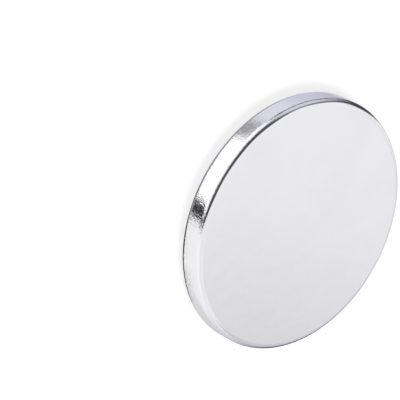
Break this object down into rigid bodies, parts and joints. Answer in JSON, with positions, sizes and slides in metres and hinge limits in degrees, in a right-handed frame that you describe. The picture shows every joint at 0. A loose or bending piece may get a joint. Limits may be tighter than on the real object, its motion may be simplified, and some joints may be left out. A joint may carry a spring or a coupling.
{
  "type": "disc magnet",
  "caption": "Flat round sintered magnet with two plane faces, a straight rim, rounded edges and bright plate, for holding light things to steel.",
  "frame": {"origin": "middle of the lower face, which the disc lies on", "axes": "+Z along the disc's axis, from the lower face to the upper face; X and Y are any two square directions across the round disc"},
  "size_m": [0.03, 0.03, 0.003],
  "materials": {
    "nickel_plate": "bright nickel plate over a tumbled sintered disc, smooth on the faces and faintly grained on the rim"
  },
  "bodies": {
    "root": {"magnet_disc": "nickel_plate"}
  },
  "joints": []
}
